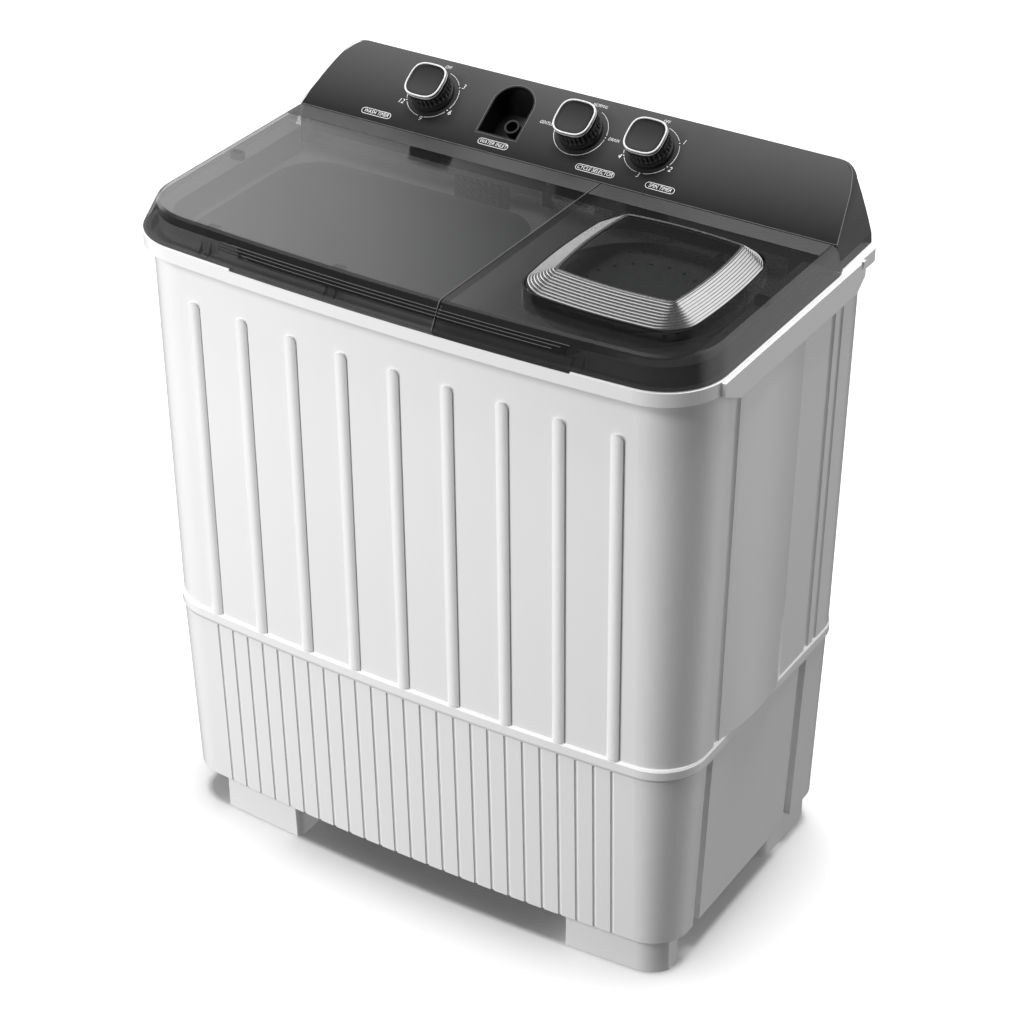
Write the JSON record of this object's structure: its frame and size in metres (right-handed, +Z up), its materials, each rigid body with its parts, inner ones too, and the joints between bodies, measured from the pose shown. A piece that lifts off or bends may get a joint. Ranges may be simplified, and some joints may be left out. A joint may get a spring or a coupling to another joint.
{
  "type": "twin tub washer",
  "caption": "Free-standing twin tub washer: ribbed white cabinet, smoked hinged lids over a wash tub and a spin basket, and a sloping dark control panel with round knobs.",
  "frame": {"origin": "on the floor, under the middle of the machine's box", "axes": "+Z up, +X to the right seen from the front, +Y to the back"},
  "size_m": [0.7074, 0.4168, 0.8552],
  "materials": {
    "white_plastic": "gloss",
    "deck_plastic": "gloss",
    "tub_plastic": "satin",
    "panel_plastic": "gloss",
    "black_plastic": "matte",
    "smoked_lid": "gloss",
    "window_smoke": "gloss",
    "bright_trim": "polished",
    "silver_frame": "brushed",
    "knob_black": "satin",
    "knob_cap": "gloss",
    "grey_plastic": "satin",
    "blue_plastic": "satin",
    "rubber": "matte",
    "steel": "brushed",
    "painted_motor": "satin",
    "cast_housing": "cast",
    "cable": "matte"
  },
  "bodies": {
    "cabinet": {"base_skirt": "white_plastic", "bottom_plate": "grey_plastic", "front_feet": "white_plastic", "rear_feet": "white_plastic", "cabinet_shell": "white_plastic", "top_deck": "deck_plastic", "hinge_pins": "steel", "deck_grilles": "black_plastic", "wash_tub": "tub_plastic", "shaft_seal": "rubber", "lint_filter": "grey_plastic", "spin_drum_casing": "tub_plastic", "spin_shaft_boot": "rubber", "drive_plate": "steel", "gearbox": "cast_housing", "wash_motor": "painted_motor", "drive_belt": "rubber", "spin_motor": "painted_motor", "spin_motor_mounts": "rubber", "motor_capacitors": "grey_plastic", "drain_valve_body": "grey_plastic", "drain_pipe": "grey_plastic", "drain_outlet": "grey_plastic", "overflow_pipe": "grey_plastic", "control_panel": "panel_plastic", "panel_back_cover": "panel_plastic", "inlet_recess": "black_plastic", "inlet_spigot": "black_plastic", "wash_timer": "grey_plastic", "cycle_switch": "grey_plastic", "spin_timer": "grey_plastic", "lid_switch": "black_plastic", "rear_service_cover": "grey_plastic", "service_screws": "steel", "wiring_harness": "cable"},
    "wash_lid": {"wash_lid": "smoked_lid", "wash_lid_bumpers": "rubber"},
    "spin_lid": {"spin_lid": "smoked_lid", "spin_lid_bumpers": "rubber", "window_frame": "silver_frame", "window_pane": "window_smoke"},
    "spin_cover": {"spin_cover": "grey_plastic"},
    "wash_knob": {"wash_timer_knob": "knob_black", "wash_timer_knob_cap": "knob_cap", "wash_timer_knob_ring": "bright_trim"},
    "cycle_knob": {"cycle_knob": "knob_black", "cycle_knob_cap": "knob_cap", "cycle_knob_ring": "bright_trim"},
    "spin_knob": {"spin_timer_knob": "knob_black", "spin_timer_knob_cap": "knob_cap", "spin_timer_knob_ring": "bright_trim"},
    "agitator": {"pulsator": "blue_plastic", "pulsator_shaft": "steel", "pulsator_pulley": "cast_housing"},
    "motor_pulley": {"wash_motor_pulley": "cast_housing"},
    "spinner": {"spin_basket": "tub_plastic", "spin_shaft": "steel", "brake_drum": "steel"},
    "brake": {"brake_lever": "steel"},
    "drain_plug": {"drain_valve_plug": "rubber"}
  },
  "joints": [
    {"name": "wash_lid_hinge", "type": "hinge", "parent": "cabinet", "child": "wash_lid", "pos_m": [-0.15, 0.1145, 0.78], "axis": [-1, 0, 0], "range_deg": [0, 94]},
    {"name": "spin_lid_hinge", "type": "hinge", "parent": "cabinet", "child": "spin_lid", "pos_m": [0.2, 0.1145, 0.78], "axis": [-1, 0, 0], "range_deg": [0, 94]},
    {"name": "spin_cover_hinge", "type": "hinge", "parent": "cabinet", "child": "spin_cover", "pos_m": [0.205, 0.074, 0.775], "axis": [-1, 0, 0], "range_deg": [0, 86]},
    {"name": "wash_timer_turn", "type": "hinge", "parent": "cabinet", "child": "wash_knob", "pos_m": [-0.1861, 0.16831, 0.81835], "axis": [0, 0.5592, -0.829], "range_deg": [0, 300]},
    {"name": "cycle_selector_turn", "type": "hinge", "parent": "cabinet", "child": "cycle_knob", "pos_m": [0.0055, 0.16913, 0.81891], "axis": [0, 0.5592, -0.829], "range_deg": [-90, 95]},
    {"name": "spin_timer_turn", "type": "hinge", "parent": "cabinet", "child": "spin_knob", "pos_m": [0.0938, 0.16897, 0.8188], "axis": [0, 0.5592, -0.829], "range_deg": [0, 300]},
    {"name": "pulsator_spin", "type": "hinge", "parent": "cabinet", "child": "agitator", "pos_m": [-0.14, -0.055, 0.35], "axis": [0, 0, 1], "continuous": true},
    {"name": "wash_motor_spin", "type": "hinge", "parent": "cabinet", "child": "motor_pulley", "pos_m": [0.02, -0.055, 0.175], "axis": [0, 0, 1], "continuous": true},
    {"name": "basket_spin", "type": "hinge", "parent": "cabinet", "child": "spinner", "pos_m": [0.205, -0.05, 0.4], "axis": [0, 0, 1], "continuous": true},
    {"name": "brake_swing", "type": "hinge", "parent": "cabinet", "child": "brake", "pos_m": [0.262, -0.115, 0.252], "axis": [0, 0, 1], "range_deg": [0, 3.2]},
    {"name": "drain_plug_lift", "type": "slide", "parent": "cabinet", "child": "drain_plug", "axis": [0, 0, 1], "range_m": [-0.0116, 0.0125]}
  ],
  "couplings": [
    {"joint": "spin_cover_hinge", "follows": "spin_lid_hinge", "ratio": 0.9},
    {"joint": "brake_swing", "follows": "spin_lid_hinge", "ratio": 0.033},
    {"joint": "wash_motor_spin", "follows": "pulsator_spin", "ratio": 4.3},
    {"joint": "drain_plug_lift", "follows": "cycle_selector_turn", "m_per_rad": 0.0072}
  ]
}
